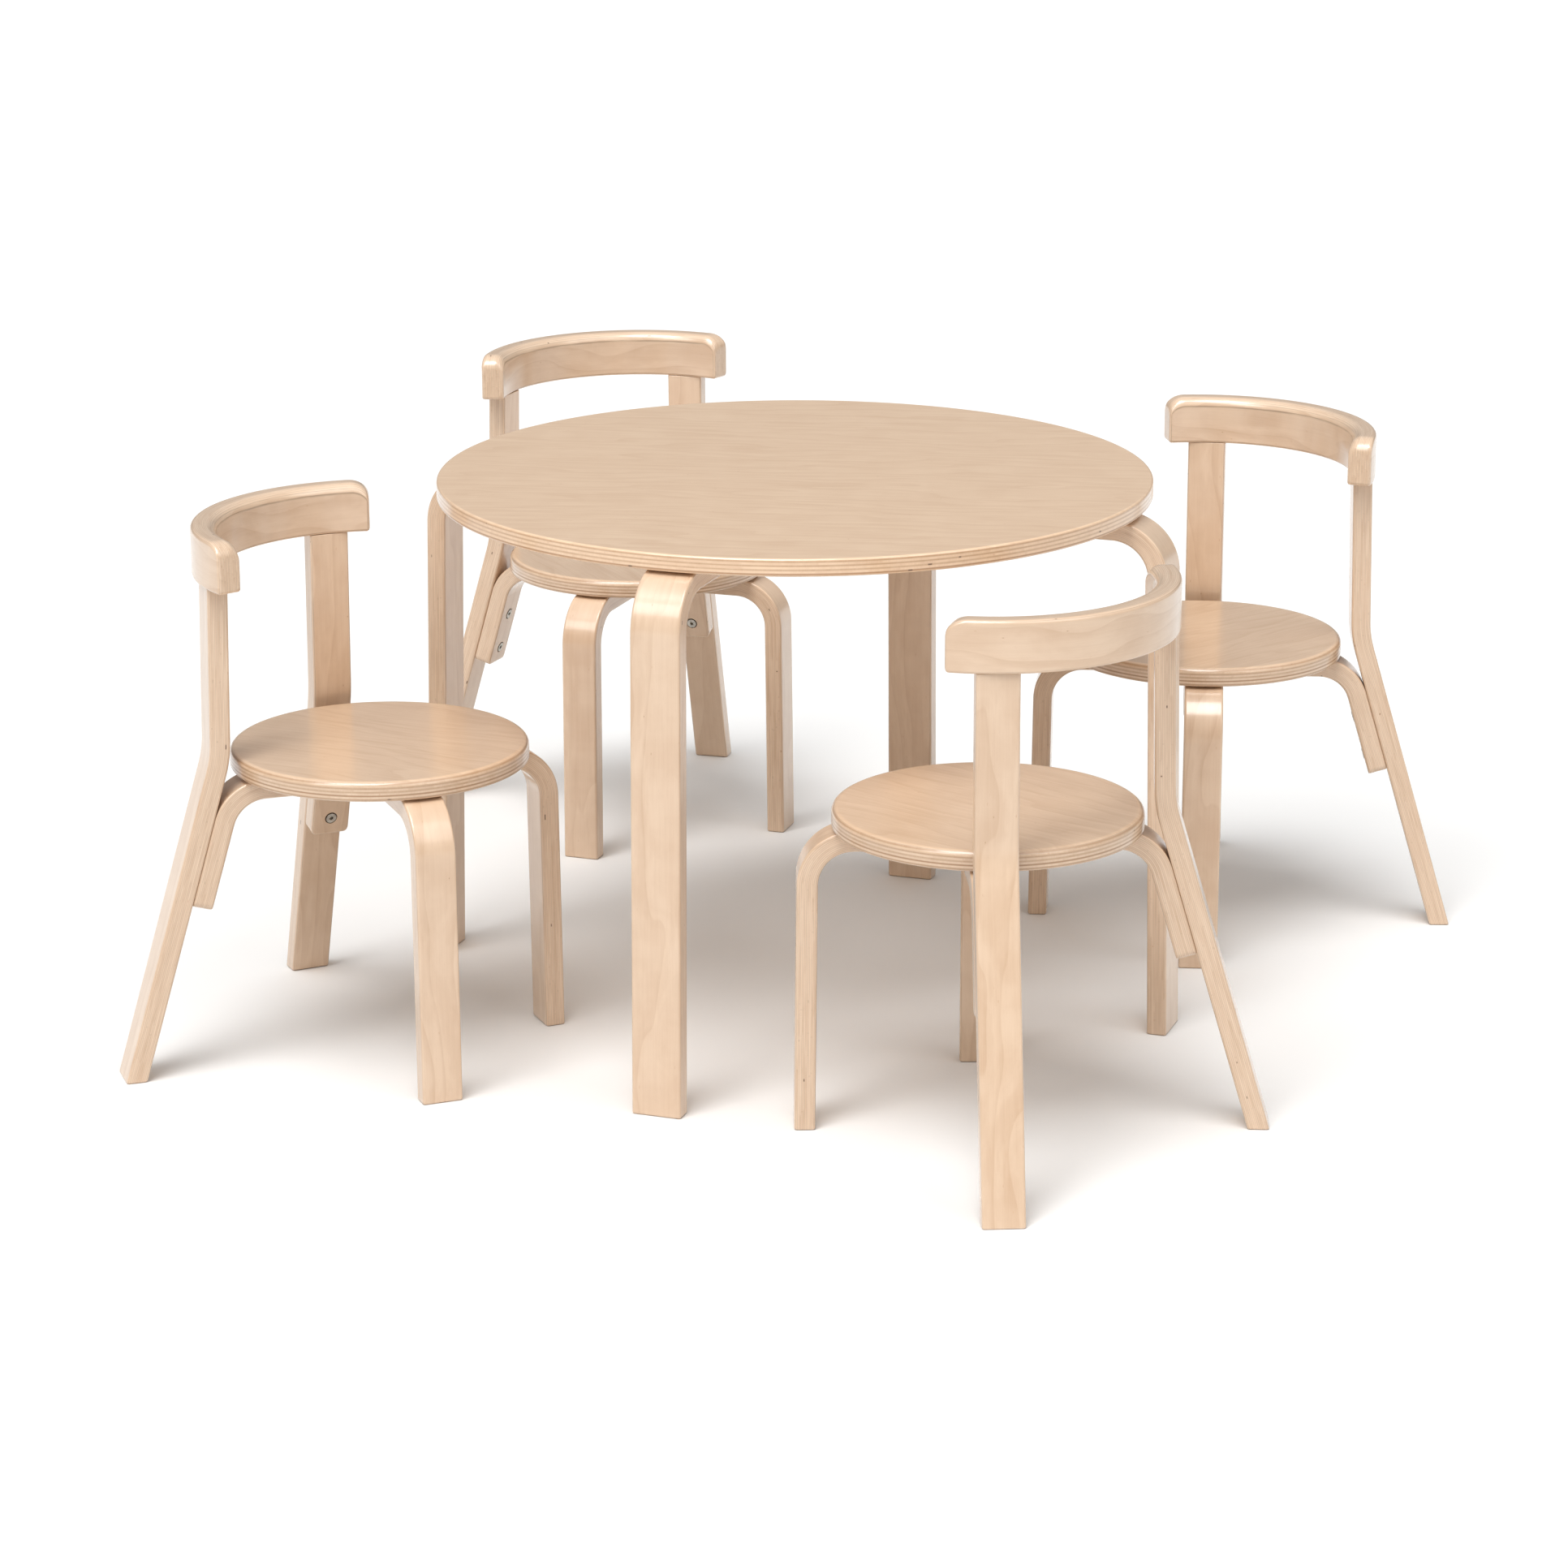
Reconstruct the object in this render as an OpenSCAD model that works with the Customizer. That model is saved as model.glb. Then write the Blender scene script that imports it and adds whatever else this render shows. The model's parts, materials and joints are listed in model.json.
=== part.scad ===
// Children's round table with four bentwood chairs, in birch plywood and laminated strips.
// +Z is up and the floor is z = 0. A chair is modelled facing +X with its seat's axis at its own origin.

/* [Table] */
// Diameter of the round top
table_d = 750; // [680:5:860]
// Height of the top face above the floor
table_h = 568; // [540:2:620]
// Thickness of the top
table_t = 18; // [15:0.5:25]
// Radius of the top's rounded edges
table_edge = 3; // [1:0.5:6]
// Reach of the legs' outer faces from the table's axis, at the floor
table_leg_reach = 421; // [390:1:440]
// Outward lean of the legs on their way down, in degrees
table_leg_lean = 1.1; // [0:0.1:3]
// Width of a leg strip
table_leg_w = 52; // [40:1:70]
// Thickness of a leg strip
table_leg_t = 21; // [16:0.5:26]
// Outer radius of the bend between arm and leg
table_leg_bend = 60; // [45:1:80]
// Distance from the table's axis to the inner end of an arm
table_arm_start = 150; // [100:5:200]
// Direction of the first leg
table_leg_turn = -19.4; // [-45:0.1:45]

/* [Seat] */
// Diameter of the round seat
seat_d = 306; // [290:1:316]
// Height of the seat's top face
seat_h = 330; // [300:2:350]
// Thickness of the seat
seat_t = 20; // [16:0.5:24]
// Radius of the seat's rounded upper edge
seat_edge = 7; // [3:0.5:9]
// Radius of the seat's rounded lower edge
seat_low_edge = 2.5; // [1:0.5:5]

/* [Chair legs] */
// Width of every strip in a chair
strip_w = 42; // [34:1:46]
// Thickness of every strip in a chair
strip_t = 21; // [18:0.5:23]
// Outer radius of the bends under the seat
strip_bend = 56; // [45:1:60]
// Distance from the seat's axis to the inner end of an arm
arm_start = 56; // [45:1:62]
// Reach of the front legs' outer faces at the floor
front_reach = 190; // [180:1:200]
// Outward lean of the front legs on their way down, in degrees
front_lean = 0.6; // [0:0.1:2]
// Angle of the front legs from straight ahead
front_turn = 46; // [40:0.5:50]
// Angle of the rear legs' faces from straight back
rear_turn = 41.5; // [38:0.5:46]
// Sideways offset of the rear legs from the radius that they face along
rear_offset = 11; // [0:1:14]
// Reach of the rear legs' outer faces at the floor
rear_reach = 283; // [260:1:300]
// Reach of the rear legs' outer faces at the bend
kink_reach = 183; // [180:0.5:188]
// Height of the bend in the rear legs
kink_h = 337; // [325:1:350]
// Radius of the hollow side of that bend
kink_bend = 110; // [60:5:160]
// Inward lean of the rear legs above the bend, in degrees
back_lean = 1.2; // [0:0.1:1.5]
// Length of the straight part of a rear bracket
bracket_leg = 92; // [88:1:110]
// Radius of the lower corners of a rear bracket
bracket_corner = 7; // [2:0.5:10]

/* [Backrest] */
// Height of the backrest's lower edge
back_h = 512; // [480:2:540]
// Height of the backrest from its lower to its upper edge
back_w = 51.5; // [40:0.5:70]
// Outer radius of the bow
back_r = 184; // [183:0.5:188]
// Thickness of the bow
back_t = 26; // [25:0.5:30]
// Angle of the bow's arc
back_arc = 122; // [116:1:150]
// Radius of the bow's upper inner edge
back_edge = 11; // [3:0.5:12]
// Radius of the upper corners at the bow's two ends
back_corner = 18; // [4:0.5:18]

/* [Fasteners] */
// Diameter of a bracket bolt's shank
bolt_d = 6; // [5:0.5:6]
// Diameter of a bracket bolt's head
bolt_head_d = 11.4; // [9:0.1:12]
// Height of a bracket bolt's head
bolt_head_h = 5.5; // [4:0.5:6]
// Width across the flats of a bolt's hexagon socket
bolt_key = 4; // [3:0.5:5]
// Diameter of the recess for a bolt's head
recess_d = 13.6; // [12.5:0.1:15]
// Depth of that recess
recess_depth = 5; // [3:0.5:6]
// Diameter of a threaded insert
insert_d = 9; // [8:0.5:10]
// Length of a threaded insert
insert_l = 12; // [8:0.5:13]
// Diameter of a wood screw's shank
screw_d = 4.5; // [3:0.5:5]
// Diameter of a wood screw's head
screw_head_d = 9; // [7:0.5:10]
// Length of a wood screw
screw_l = 32; // [28:1:34]
// Diameter of a backrest dowel
dowel_d = 10; // [6:0.5:12]
// Length of a backrest dowel
dowel_l = 40; // [24:1:50]

/* [Arrangement] */
// Front left chair: distance right and back from the table's axis, and the direction it faces
chair_1_place = [-426, -181, -22.2]; // [-720:0.1:720]
// Back left chair
chair_2_place = [-188, 633, -64.2]; // [-720:0.1:720]
// Back right chair
chair_3_place = [455, 242, -140.4]; // [-720:0.1:720]
// Front right chair
chair_4_place = [188, -411, 135.2]; // [-720:0.1:720]

/* [Hidden] */
$fn = 96;
eps = 0.01;
wood = "burlywood";
bent_wood = "wheat";
steel = "silver";

// How far a rounding's circle stands past the flat faces that it joins, so that it crosses them
round_cross = 0.05;
// Longer than anything in the set
far = 2000;

// Clearances between a fastener and its hole, on the radius
shank_gap = 0.25;
thread_gap = 0.05;
// Free length at the blind end of a hole
end_gap = 0.5;

// Angle of the rear legs and brackets from upright, below the bend
splay = atan((rear_reach - kink_reach) / kink_h);

// Centre of the rear legs' bend, on the hollow side of the strip
kink_tangent = kink_bend * tan((splay - back_lean) / 2);
kink_x = kink_reach - kink_tangent * sin(back_lean) + kink_bend * cos(back_lean);
kink_z = kink_h + kink_tangent * cos(back_lean) + kink_bend * sin(back_lean);

// Centres of the bends under the table's top and under the seat
table_bend_z = table_h - table_t - table_leg_bend;
table_bend_x = table_leg_reach - table_leg_bend / cos(table_leg_lean) - table_bend_z * tan(table_leg_lean);
chair_bend_z = seat_h - seat_t - strip_bend;
front_bend_x = front_reach - strip_bend / cos(front_lean) - chair_bend_z * tan(front_lean);

// A rear bracket's outer face lies on the long leg's inner face
kink_distance = kink_reach * cos(splay) + kink_h * sin(splay);
bracket_x = (kink_distance - strip_t - strip_bend - chair_bend_z * sin(splay)) / cos(splay);

// Bolts, measured up the bracket from its lower end
bolt_steps = [20, 65];
// How far a bolt's end and an insert's mouth are below the long leg's face
bolt_reach = 14;
insert_sink = 0.5;
bolt_l = strip_t - recess_depth + bolt_reach;
// Depth of a bolt's hexagon socket
socket_depth = 3;

// Screws, measured from the seat's or the table's axis
seat_screw_steps = [74, 110];
table_screw_steps = [210, 310];

// Middle of a long leg's top end, from the seat's axis along the leg's own direction
dowel_x = kink_reach - (back_h - kink_h) * tan(back_lean) - strip_t / 2;

CHAIR_PLACES = [chair_1_place, chair_2_place, chair_3_place, chair_4_place];

// Corners of the long legs' feet, which are the outermost points of the set
function turned(p, a) = [p[0] * cos(a) - p[1] * sin(a), p[0] * sin(a) + p[1] * cos(a)];
function rear_angle(side) = side * (180 - rear_turn);
foot_corners = [
    for (place = CHAIR_PLACES, side = [-1, 1], edge = [-1, 1])
        [place[0], place[1]]
        + turned([rear_reach, -side * rear_offset + edge * strip_w / 2], place[2] + rear_angle(side))
];
foot_xs = [for (p = foot_corners) p[0]];
foot_ys = [for (p = foot_corners) p[1]];
set_centre = [(min(foot_xs) + max(foot_xs)) / 2, (min(foot_ys) + max(foot_ys)) / 2];

CHAIR_PARTS = [
    "seat", "backrest", "long_leg_left", "long_leg_right", "rear_bracket_left", "rear_bracket_right",
    "front_leg_left", "front_leg_right", "bracket_bolts", "threaded_inserts", "seat_screws",
    "backrest_dowels"
];
TABLE_PARTS = ["table_top", "table_leg_1", "table_leg_2", "table_leg_3", "table_leg_4", "table_screws"];

// Placing

module place_table() {
    translate([-set_centre[0], -set_centre[1], 0]) children();
}

module place_chair(n) {
    place = CHAIR_PLACES[n - 1];
    place_table() translate([place[0], place[1], 0]) rotate(place[2]) children();
}

// side is 1 for the sitter's left and -1 for the right
module at_front(side) {
    rotate(side * front_turn) children();
}

module at_rear(side) {
    rotate(rear_angle(side)) translate([0, -side * rear_offset, 0]) children();
}

module at_table_leg(n) {
    rotate(table_leg_turn + 90 * n) children();
}

// On the face between a rear bracket and its long leg, at a bolt, with +Z towards the bolt's head
module at_bolts(side) {
    for (step = bolt_steps)
        at_rear(side) translate([bracket_x, 0, chair_bend_z]) rotate([0, -splay, 0])
            translate([strip_bend, 0, step - bracket_leg]) rotate([0, -90, 0]) children();
}

module at_seat_screws() {
    for (side = [-1, 1], step = seat_screw_steps) {
        at_front(side) translate([step, 0, seat_h - seat_t - strip_t]) children();
        at_rear(side) translate([step, 0, seat_h - seat_t - strip_t]) children();
    }
}

module at_table_screws() {
    for (n = [0:3], step = table_screw_steps)
        at_table_leg(n) translate([step, 0, table_h - table_t - table_leg_t]) children();
}

module at_dowels() {
    for (side = [-1, 1])
        at_rear(side) translate([dowel_x, 0, back_h]) children();
}

// Outlines

// A disc's half section, with its upper and lower outer edges rounded
module disc_section(radius, thickness, upper, lower) {
    square([radius - upper, thickness]);
    translate([0, lower]) square([radius, thickness - upper - lower]);
    square([radius - lower, thickness - upper]);
    translate([radius - upper, thickness - upper]) circle(upper);
    translate([radius - lower, lower]) circle(lower);
}

// Everything inside two flat faces that square up to the directions from and to, at the same
// distance from the origin, with a rounded corner between them
module rounded_corner(radius, from, to) {
    intersection() {
        rotate(from) translate([-far, -far]) square([far + radius, 2 * far]);
        rotate(to) translate([-far, -far]) square([far + radius, 2 * far]);
        union() {
            circle(radius + round_cross);
            rotate(from) translate([-far, -far]) square([2 * far, far]);
            rotate(to) translate([-far, 0]) square([2 * far, far]);
        }
    }
}

// Side view of a strip bent about the origin, with endless straights on both sides of the bend
module bent_strip(thickness, bend, from, to) {
    difference() {
        rounded_corner(bend, from, to);
        rounded_corner(bend - thickness, from, to);
    }
}

// Side view of an L-shaped strip: an arm, a bend about the origin, and a leg that leans outwards
// on its way down and is cut level
module l_outline(arm, leg, thickness, bend, lean) {
    intersection() {
        bent_strip(thickness, bend, lean, 90);
        translate([-arm, -leg]) square([arm + leg + bend, leg + 2 * bend]);
    }
}

// Stands a side view up in the XZ plane and gives it a width across that plane
module strip(width) {
    rotate([90, 0, 0]) linear_extrude(width, center = true) children();
}

// Fasteners

module wood_screw() {
    sink = (screw_head_d - screw_d) / 2;
    cylinder(h = sink, d1 = screw_head_d, d2 = screw_d);
    translate([0, 0, sink - eps]) cylinder(h = screw_l - sink + eps, d = screw_d);
}

// The screw's own hole: a clearance hole through the arm and a close one above it
module screw_hole(arm_t) {
    sink = (screw_head_d - screw_d) / 2;
    translate([0, 0, -eps])
        cylinder(h = sink + shank_gap, d1 = screw_head_d + 2 * shank_gap, d2 = screw_d);
    translate([0, 0, -1]) cylinder(h = arm_t + 1, d = screw_d + 2 * shank_gap);
    translate([0, 0, arm_t - 1]) cylinder(h = screw_l - arm_t + 2, d = screw_d + 2 * thread_gap);
}

module hexagon_bolt() {
    difference() {
        union() {
            translate([0, 0, strip_t - recess_depth]) cylinder(h = bolt_head_h, d = bolt_head_d);
            translate([0, 0, strip_t - recess_depth - bolt_l]) cylinder(h = bolt_l + eps, d = bolt_d);
        }
        translate([0, 0, strip_t - recess_depth + bolt_head_h - socket_depth])
            cylinder(h = socket_depth + 1, d = bolt_key / cos(30), $fn = 6);
    }
}

module bolt_hole() {
    translate([0, 0, -1]) cylinder(h = strip_t + 2, d = bolt_d + 2 * shank_gap);
    translate([0, 0, strip_t - recess_depth]) cylinder(h = recess_depth + 1, d = recess_d);
}

module insert_hole() {
    depth = max(insert_l + insert_sink, bolt_reach) + end_gap;
    translate([0, 0, -depth]) cylinder(h = depth + 1, d = insert_d + 2 * thread_gap);
}

module threaded_insert() {
    translate([0, 0, -insert_l - insert_sink]) difference() {
        cylinder(h = insert_l, d = insert_d);
        translate([0, 0, -1]) cylinder(h = insert_l + 2, d = bolt_d + 2 * thread_gap);
    }
}

// Table

module table_top() {
    color(wood) difference() {
        translate([0, 0, table_h - table_t])
            rotate_extrude() disc_section(table_d / 2, table_t, table_edge, table_edge);
        at_table_screws() screw_hole(table_leg_t);
    }
}

module table_leg(n) {
    color(bent_wood) difference() {
        at_table_leg(n) translate([table_bend_x, 0, table_bend_z]) strip(table_leg_w)
            l_outline(
                table_bend_x - table_arm_start, table_bend_z, table_leg_t, table_leg_bend, table_leg_lean
            );
        at_table_screws() screw_hole(table_leg_t);
    }
}

module table_screws() {
    color(steel) at_table_screws() wood_screw();
}

// Chair

module seat() {
    color(wood) difference() {
        translate([0, 0, seat_h - seat_t])
            rotate_extrude() disc_section(seat_d / 2, seat_t, seat_edge, seat_low_edge);
        at_seat_screws() screw_hole(strip_t);
    }
}

module front_leg(side) {
    color(bent_wood) difference() {
        at_front(side) translate([front_bend_x, 0, chair_bend_z]) strip(strip_w)
            l_outline(front_bend_x - arm_start, chair_bend_z, strip_t, strip_bend, front_lean);
        at_seat_screws() screw_hole(strip_t);
    }
}

// Face view of the lower end of a rear bracket, wider than its strip apart from the rounded corners
module bracket_face() {
    straight = bracket_leg - bracket_corner;
    middle = strip_w / 2 - bracket_corner;
    intersection() {
        translate([-far, -far]) square([far + bracket_leg, 2 * far]);
        union() {
            translate([-far, -strip_w]) square([far + straight, 2 * strip_w]);
            translate([-far, -middle]) square([2 * far, 2 * middle]);
            for (edge = [-1, 1])
                translate([straight, edge * middle]) circle(bracket_corner + round_cross);
        }
    }
}

module rear_bracket(side) {
    color(bent_wood) difference() {
        at_rear(side) translate([bracket_x, 0, chair_bend_z]) intersection() {
            strip(strip_w)
                l_outline(bracket_x - arm_start, 2 * bracket_leg, strip_t, strip_bend, splay);
            rotate([0, 90 - splay, 0]) translate([0, 0, -bracket_x])
                linear_extrude(bracket_x + 2 * strip_bend) bracket_face();
        }
        at_seat_screws() screw_hole(strip_t);
        at_bolts(side) bolt_hole();
    }
}

// Side view of a long rear leg, cut level at the floor and under the backrest
module long_leg_outline() {
    intersection() {
        translate([kink_x, kink_z]) rotate(back_lean)
            bent_strip(strip_t, kink_bend + strip_t, 180, 180 + splay - back_lean);
        square([2 * rear_reach, back_h]);
    }
}

module long_leg(side) {
    color(bent_wood) difference() {
        at_rear(side) strip(strip_w) long_leg_outline();
        at_bolts(side) insert_hole();
        at_dowels() dowel_hole();
    }
}

module dowel_hole() {
    translate([0, 0, -dowel_l / 2 - end_gap])
        cylinder(h = dowel_l + 2 * end_gap, d = dowel_d + 2 * thread_gap);
}

module backrest_section() {
    translate([back_r - back_t, 0]) square([back_t, back_w - back_edge]);
    translate([back_r - back_t + back_edge, 0]) square([back_t - back_edge, back_w]);
    translate([back_r - back_t + back_edge, back_w - back_edge]) circle(back_edge);
}

// The upper corner that the rounding of one end of the bow cuts away. The rounding meets the
// bow's faces at a few degrees.
module backrest_corner(end) {
    inset = back_corner - round_cross;
    side = end > 0 ? 0 : -back_corner - 1;
    rotate(180 + end * back_arc / 2) translate([0, -end * inset, back_h + back_w - inset])
        rotate([0, 90, 0]) difference() {
            translate([-back_corner - 1, side, 0]) cube([back_corner + 1, back_corner + 1, 2 * back_r]);
            translate([0, 0, -1]) cylinder(h = 2 * back_r + 3, r = back_corner);
        }
}

module backrest() {
    color(wood) difference() {
        rotate(180 - back_arc / 2) translate([0, 0, back_h])
            rotate_extrude(angle = back_arc) backrest_section();
        for (end = [-1, 1])
            backrest_corner(end);
        at_dowels() dowel_hole();
    }
}

module bracket_bolts() {
    color(steel) for (side = [-1, 1])
        at_bolts(side) hexagon_bolt();
}

module threaded_inserts() {
    color("gold") for (side = [-1, 1])
        at_bolts(side) threaded_insert();
}

module seat_screws() {
    color(steel) at_seat_screws() wood_screw();
}

module backrest_dowels() {
    color("tan") at_dowels()
        translate([0, 0, -dowel_l / 2]) cylinder(h = dowel_l, d = dowel_d);
}

place_table() table_top();
place_table() table_leg(0);  // table_leg_1
place_table() table_leg(1);  // table_leg_2
place_table() table_leg(2);  // table_leg_3
place_table() table_leg(3);  // table_leg_4
place_table() table_screws();

for (n = [1:4]) {
    place_chair(n) seat();
    place_chair(n) backrest();
    place_chair(n) long_leg(1);
    place_chair(n) long_leg(-1);
    place_chair(n) rear_bracket(1);
    place_chair(n) rear_bracket(-1);
    place_chair(n) front_leg(1);
    place_chair(n) front_leg(-1);
    place_chair(n) bracket_bolts();
    place_chair(n) threaded_inserts();
    place_chair(n) seat_screws();
    place_chair(n) backrest_dowels();
}
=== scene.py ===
"""Looks of the children's round table and its four bentwood chairs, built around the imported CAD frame.

Lengths are in metres. A chair is built facing +X with its seat's axis at the origin, as in the CAD
source, and is then put where the frame's seat is. Every wooden piece carries the attribute "grain":
the distance along the wood's grain, across it, and down through its layers.
"""

import json
import math
import random

import bmesh
import bpy
from mathutils import Matrix, Vector


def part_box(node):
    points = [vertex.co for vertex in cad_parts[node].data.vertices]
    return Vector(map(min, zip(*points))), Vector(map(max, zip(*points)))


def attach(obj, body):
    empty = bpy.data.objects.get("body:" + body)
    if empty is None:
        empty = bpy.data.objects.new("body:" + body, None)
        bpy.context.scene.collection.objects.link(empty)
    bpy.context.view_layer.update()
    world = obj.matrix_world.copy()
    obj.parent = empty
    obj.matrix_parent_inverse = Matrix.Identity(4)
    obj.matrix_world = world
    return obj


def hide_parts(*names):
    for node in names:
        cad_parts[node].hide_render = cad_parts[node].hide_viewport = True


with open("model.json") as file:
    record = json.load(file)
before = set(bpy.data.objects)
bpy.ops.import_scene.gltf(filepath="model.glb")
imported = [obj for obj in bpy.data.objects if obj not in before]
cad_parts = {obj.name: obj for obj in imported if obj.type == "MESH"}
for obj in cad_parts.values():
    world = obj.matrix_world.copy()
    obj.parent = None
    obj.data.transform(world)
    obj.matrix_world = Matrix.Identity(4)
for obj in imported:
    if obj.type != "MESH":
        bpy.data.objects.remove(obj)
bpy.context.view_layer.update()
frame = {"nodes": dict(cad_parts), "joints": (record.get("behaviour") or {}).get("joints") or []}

MM = 0.001
CHAIRS = (1, 2, 3, 4)
SIDES = {"left": 1, "right": -1}

# Strips of the chairs
STRIP_W = 42 * MM
STRIP_T = 21 * MM
STRIP_BEND = 56 * MM
ARM_START = 56 * MM
FRONT_REACH = 190 * MM
FRONT_TURN = math.radians(46)
FRONT_LEAN = math.radians(0.6)
REAR_TURN = math.radians(41.5)
REAR_OFFSET = 11 * MM
REAR_REACH = 283 * MM
KINK_REACH = 183 * MM
KINK_H = 337 * MM
KINK_BEND = 110 * MM
BACK_LEAN = math.radians(1.2)
BRACKET_LEG = 92 * MM
BRACKET_CORNER = 7 * MM
BOLT_STEPS = (20 * MM, 65 * MM)
SEAT_SCREW_STEPS = (74 * MM, 110 * MM)

# Legs of the table
TABLE_LEG_REACH = 421 * MM
TABLE_LEG_W = 52 * MM
TABLE_LEG_T = 21 * MM
TABLE_LEG_BEND = 60 * MM
TABLE_LEG_LEAN = math.radians(1.1)
TABLE_LEG_TURN = math.radians(-19.4)
TABLE_ARM_START = 150 * MM
TABLE_SCREW_STEPS = (210 * MM, 310 * MM)

# Backrest
BACK_H = 512 * MM
BACK_W = 51.5 * MM
BACK_R = 184 * MM
BACK_T = 26 * MM
BACK_ARC = math.radians(122)
BACK_END_CORNER_L = 22 * MM
BACK_END_CORNER_H = 16 * MM
BACK_END_EASE = 3.5 * MM
BACK_FOOT_EASE = 4 * MM
BACK_SECTION_EASES = (3 * MM, 4.5 * MM, 11 * MM, 3 * MM)

# Rounded edges
STRIP_EASE = 2.6 * MM
LEAST_EASE = 0.8 * MM
FOOT_EASE = 2.2 * MM
SEAT_UPPER_EDGE = 6.5 * MM
SEAT_LOWER_EDGE = 2.5 * MM
TABLE_EDGE = 2.6 * MM

# Holes
RECESS_R = 6.8 * MM
RECESS_DEPTH = 5 * MM
SCREW_HOLE_R = 4.75 * MM
SCREW_HOLE_DEPTH = 2.4 * MM

# Layers of the wood. The table top has 9 and a seat 11, so both faces of a board show the same grain.
BENT_LAYER = 1.75 * MM
TABLE_PLY_LAYER = 2.1 * MM
SEAT_PLY_LAYER = 1.9 * MM

# Grain directions of the table top, and the most that a seat's grain turns from the chair's own line
TOP_GRAIN = math.radians(-7)
SEAT_GRAIN = 0.15

# How finely round shapes are cut up
FINE_TURN = math.radians(3.5)
LONG_STEP = 60 * MM
END_RINGS = 6
EDGE_RINGS = 8
TOP_SEGMENTS = 384
SEAT_SEGMENTS = 256
BOW_RINGS = 36
BOW_END_RINGS = 12

table_low, table_high = (Vector(corner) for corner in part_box("table_top"))
table_axis = (table_low + table_high) / 2
table_h = table_high.z
table_t = table_high.z - table_low.z
table_r = (table_high.x - table_low.x) / 2
seat_low, seat_high = (Vector(corner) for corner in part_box("chair_1_seat"))
seat_h = seat_high.z
seat_t = seat_high.z - seat_low.z
seat_r = (seat_high.x - seat_low.x) / 2

splay = math.atan((REAR_REACH - KINK_REACH) / KINK_H)
table_bend_z = table_h - table_t - TABLE_LEG_BEND
chair_bend_z = seat_h - seat_t - STRIP_BEND


# Outlines -----------------------------------------------------------------------------------------


class SidePath:
    """The outer face of a strip in side view: straights and arcs, each (length, turn)."""

    def __init__(self, start, heading, segments):
        self.segments = []
        point, done = Vector(start), 0.0
        for length, turn in segments:
            self.segments.append((done, length, turn, point.copy(), heading))
            point = self._along(length, turn, point, heading, length)
            heading += turn
            done += length
        self.length = done

    @staticmethod
    def _along(length, turn, point, heading, step):
        if abs(turn) < 1e-9:
            return point + step * Vector((math.cos(heading), math.sin(heading)))
        radius = length / turn
        end = heading + turn * step / length
        return point + radius * Vector((
            math.sin(end) - math.sin(heading),
            math.cos(heading) - math.cos(end),
        ))

    def at(self, u):
        """Point on the face, direction along it, and direction into the wood."""
        for done, length, turn, point, heading in self.segments:
            if u <= done + length + 1e-12:
                break
        step = u - done
        here = heading + turn * step / length
        place = self._along(length, turn, point, heading, step)
        along = Vector((math.cos(here), math.sin(here)))
        return place, along, Vector((along.y, -along.x))

    def locate(self, x, z):
        """The distance along the face and the depth into the wood of a point of the side view."""
        best = None
        for done, length, turn, point, heading in self.segments:
            along = Vector((math.cos(heading), math.sin(heading)))
            inward = Vector((along.y, -along.x))
            offset = Vector((x, z)) - point
            if abs(turn) < 1e-9:
                step, depth = offset.dot(along), offset.dot(inward)
            else:
                radius = length / turn
                start = inward * radius
                arm = offset + start
                step = math.atan2(start.cross(arm), start.dot(arm)) / turn * length
                depth = math.copysign(arm.length, radius) - radius
            miss = max(0.0, -step, step - length)
            if best is None or miss < best[0]:
                best = (miss, done + step, depth)
        return best[1], best[2]


def l_path(reach, bend_z, arm_start, bend, lean):
    """An arm, its bend and a leg that leans outwards by lean down to the floor, which it meets at reach."""
    bend_x = reach - bend / math.cos(lean) - bend_z * math.tan(lean)
    arm = bend_x - arm_start
    leg = (bend_z + bend * math.sin(lean)) / math.cos(lean)
    quarter = math.pi / 2 - lean
    return SidePath((bend_x - arm, bend_z + bend), 0, [(arm, 0), (bend * quarter, -quarter), (leg, 0)])


def bend_steps(path, ends):
    """Stations along a path: close together in its bends and towards its rounded ends."""
    steps = {0.0, path.length}
    for done, length, turn, _, _ in path.segments:
        count = max(1, math.ceil(abs(turn) / FINE_TURN if turn else length / LONG_STEP))
        steps.update(done + length * i / count for i in range(count + 1))
    start, end = ends
    kept = {u for u in steps if start < u < path.length - end}
    for k in range(END_RINGS + 1):
        away = 1 - math.cos(k / END_RINGS * math.pi / 2)
        kept.add(start * away)
        kept.add(path.length - end * away)
    return sorted(kept)


def rounding(distance, radius):
    """How far a rounded end stands back from the side at a distance from the end's tip."""
    if distance >= radius:
        return 0.0
    return radius - math.sqrt(max(0.0, radius ** 2 - (radius - distance) ** 2))


def rounded_rectangle(low, high, radii, arc=5):
    """Points round a rectangle, from its corner (high, low) anticlockwise, each corner with its radius."""
    room = min(high[0] - low[0], high[1] - low[1]) / 2
    corners = ((high[0], low[1], -90), (high[0], high[1], 0), (low[0], high[1], 90), (low[0], low[1], 180))
    points = []
    for (x, y, first), radius in zip(corners, radii):
        radius = min(radius, room)
        cx = x - radius if x == high[0] else x + radius
        cy = y - radius if y == high[1] else y + radius
        for k in range(arc + 1):
            a = math.radians(first + 90 * k / arc)
            points.append((cx + radius * math.cos(a), cy + radius * math.sin(a)))
    return points


# Meshes -------------------------------------------------------------------------------------------


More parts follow.
